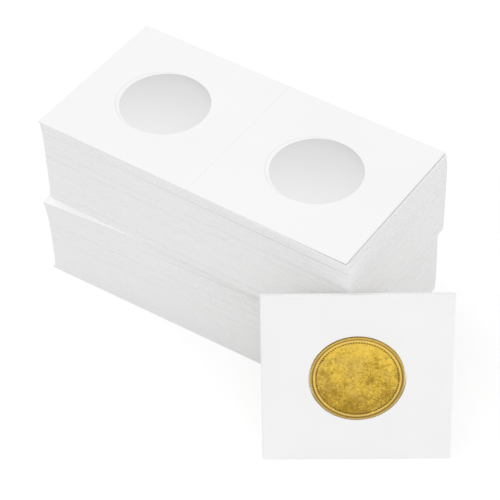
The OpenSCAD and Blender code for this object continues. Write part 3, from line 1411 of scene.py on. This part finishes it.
@dataclass
class Studio:
    """The pale floor, the even sky, the lamps and the camera of the photograph.

    Args:
        target: Point that the camera looks at, in millimetres.
        azimuth: The camera's direction from the object, in degrees.
        elevation: Its height above the horizon, in degrees.
        roll: Its roll, in degrees.
        distance: Its distance from the target, in metres.
        lens: Its focal length, in millimetres.
        sensor: Width of its sensor, in millimetres.
        clip: The nearest and farthest that it sees, in metres.
        floor_half: Half of the floor's side, in metres.
        floor_paint: Brightness of the floor's paint.
        floor_glow: Strength of the white that the camera sees in it.
        floor_share: How much of that white it sees.
        sky: Brightness of the sky as a lamp.
        boxes: The soft boxes.
    """

    target: tuple = (11.28, -12.68, 30.6)
    azimuth: float = 35.46
    elevation: float = 45.35
    roll: float = -1.61
    distance: float = 0.535
    lens: float = 137.43
    sensor: float = 36.0
    clip: tuple = (0.01, 20.0)
    floor_half: float = 3.0
    floor_paint: float = 0.86
    floor_glow: float = 1.25
    floor_share: float = 0.50
    sky: float = 0.60
    boxes: tuple = (
        SoftBox("camera_box", 34.0, 46.0, 3.7),
        SoftBox("left_box", -20.0, 35.0, 4.4),
        SoftBox("right_box", 85.0, 35.0, 7.6),
        SoftBox("high_box", -95.0, 60.0, 8.6),
    )

    def build(self) -> None:
        """Makes everything that isn't the object."""
        self._floor()
        self._sky()
        for box in self.boxes:
            box.build(Vector(self.target) * MM)
        self._camera()
        bpy.context.scene.view_settings.view_transform = "Standard"

    def _floor(self) -> None:
        """A plain white floor that shows soft shadows."""
        bm = bmesh.new()
        bmesh.ops.create_grid(bm, x_segments=1, y_segments=1, size=self.floor_half)
        mesh = bpy.data.meshes.new("floor")
        bm.to_mesh(mesh)
        bm.free()
        material = bpy.data.materials.new("floor_white")
        graph = Graph(material)
        paint = graph.add("BsdfDiffuse", {"Color": (*(self.floor_paint,) * 3, 1.0)})
        glow = graph.add("Emission", {"Color": WHITE, "Strength": self.floor_glow})
        share = graph.math("MULTIPLY", graph.seen(), self.floor_share)
        both = graph.add("MixShader", {0: share, 1: paint.outputs[0], 2: glow.outputs[0]})
        graph.show(both.outputs[0])
        mesh.materials.append(material)
        put("floor", mesh)

    def _sky(self) -> None:
        """An even sky: white where it is seen, and softer where it lights the object."""
        world = bpy.data.worlds.new("studio")
        bpy.context.scene.world = world
        graph = Graph(world)
        lit = graph.add("Background", {"Color": WHITE, "Strength": self.sky})
        white = graph.add("Background", {"Color": WHITE, "Strength": 1.0})
        both = graph.add("MixShader", {0: graph.seen(), 1: lit.outputs[0], 2: white.outputs[0]})
        graph.show(both.outputs[0], "OutputWorld")

    def _camera(self) -> None:
        """The camera, at the photograph's place."""
        back = direction(self.azimuth, self.elevation)
        level = direction(self.azimuth + 90, 0.0)
        upright = back.cross(level)
        roll = math.radians(self.roll)
        right = math.cos(roll) * level + math.sin(roll) * upright
        up = -math.sin(roll) * level + math.cos(roll) * upright
        data = bpy.data.cameras.new("camera")
        data.lens, data.sensor_width = self.lens, self.sensor
        data.clip_start, data.clip_end = self.clip
        camera = put("camera", data)
        turn = Matrix((right, up, back)).transposed().to_4x4()
        place = Vector(self.target) * MM + back * self.distance
        camera.matrix_world = Matrix.Translation(place) @ turn
        bpy.context.scene.camera = camera


def make_finishes(sizes: FlipSizes) -> dict:
    """Makes every material of the set.

    Args:
        sizes: Sizes of a flip.

    Returns:
        The materials, by the name that the sub-assemblies ask for.
    """
    finishes = {
        "card": CardFinish("card_face"),
        "card_edge": CardFinish("card_cut_edge", shade=0.90, fibre=0.008, cut=True),
        # Painted shade: the top flip's cut edges darken towards its right end.
        "card_edge_top_painted_shade": CardFinish("card_top_edge_painted_shade", shade=0.90, fibre=0.008, cut=True, shade_fall=0.32),
        # Over the windows, the films' colour carries painted shade.
        "film": FilmFinish("film_stack", haze=0.92),
        # film_top also paints shade along a pressed ring, and film_crease along the crease.
        "film_top": FilmFinish("film_top", haze=0.95, ring_shift=-1.3),
        "film_crease": FilmFinish("film_crease", haze=0.95, crease_w=sizes.crease_w),
        "film_clear": FilmFinish("film_over_coin", haze=0.01),
        "film_edge": CardFinish("film_cut_edge", shade=0.90, fibre=0.006, cut=True),
        # Painted shade: a dark film edge, darker towards the right, as a gap under a flip shades
        # the front.
        "film_line": CardFinish(
            "film_clear_edge", shade=0.80, fibre=0.006, cut=True, shade_fall=0.29, span=(-45.0, 35.0),
        ),
        "coin": CoinFinish(),
    }
    return {name: finish.make() for name, finish in finishes.items()}


def main() -> None:
    """Builds every sub-assembly in order, and then the studio."""
    logging.basicConfig(level=logging.INFO, format="%(message)s")
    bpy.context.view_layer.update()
    sizes = FlipSizes()
    finishes = make_finishes(sizes)
    maker = FlipMaker(sizes)
    board = maker.whole_board().to_mesh("board_master")
    film = {
        contact: maker.whole_film(contact).to_mesh(f"film_{contact.name}") for contact in Contact
    }
    for bundle in Bundle:
        for number in range(1, PACKETS + 1):
            Packet(bundle, number).build(board, film, finishes)
    TopFlip(sizes).build(finishes)
    closed = ClosedFlip(sizes)
    closed.build(finishes)
    Coin(closed).build(finishes)
    Studio().build()


if __name__ == "__main__":
    main()
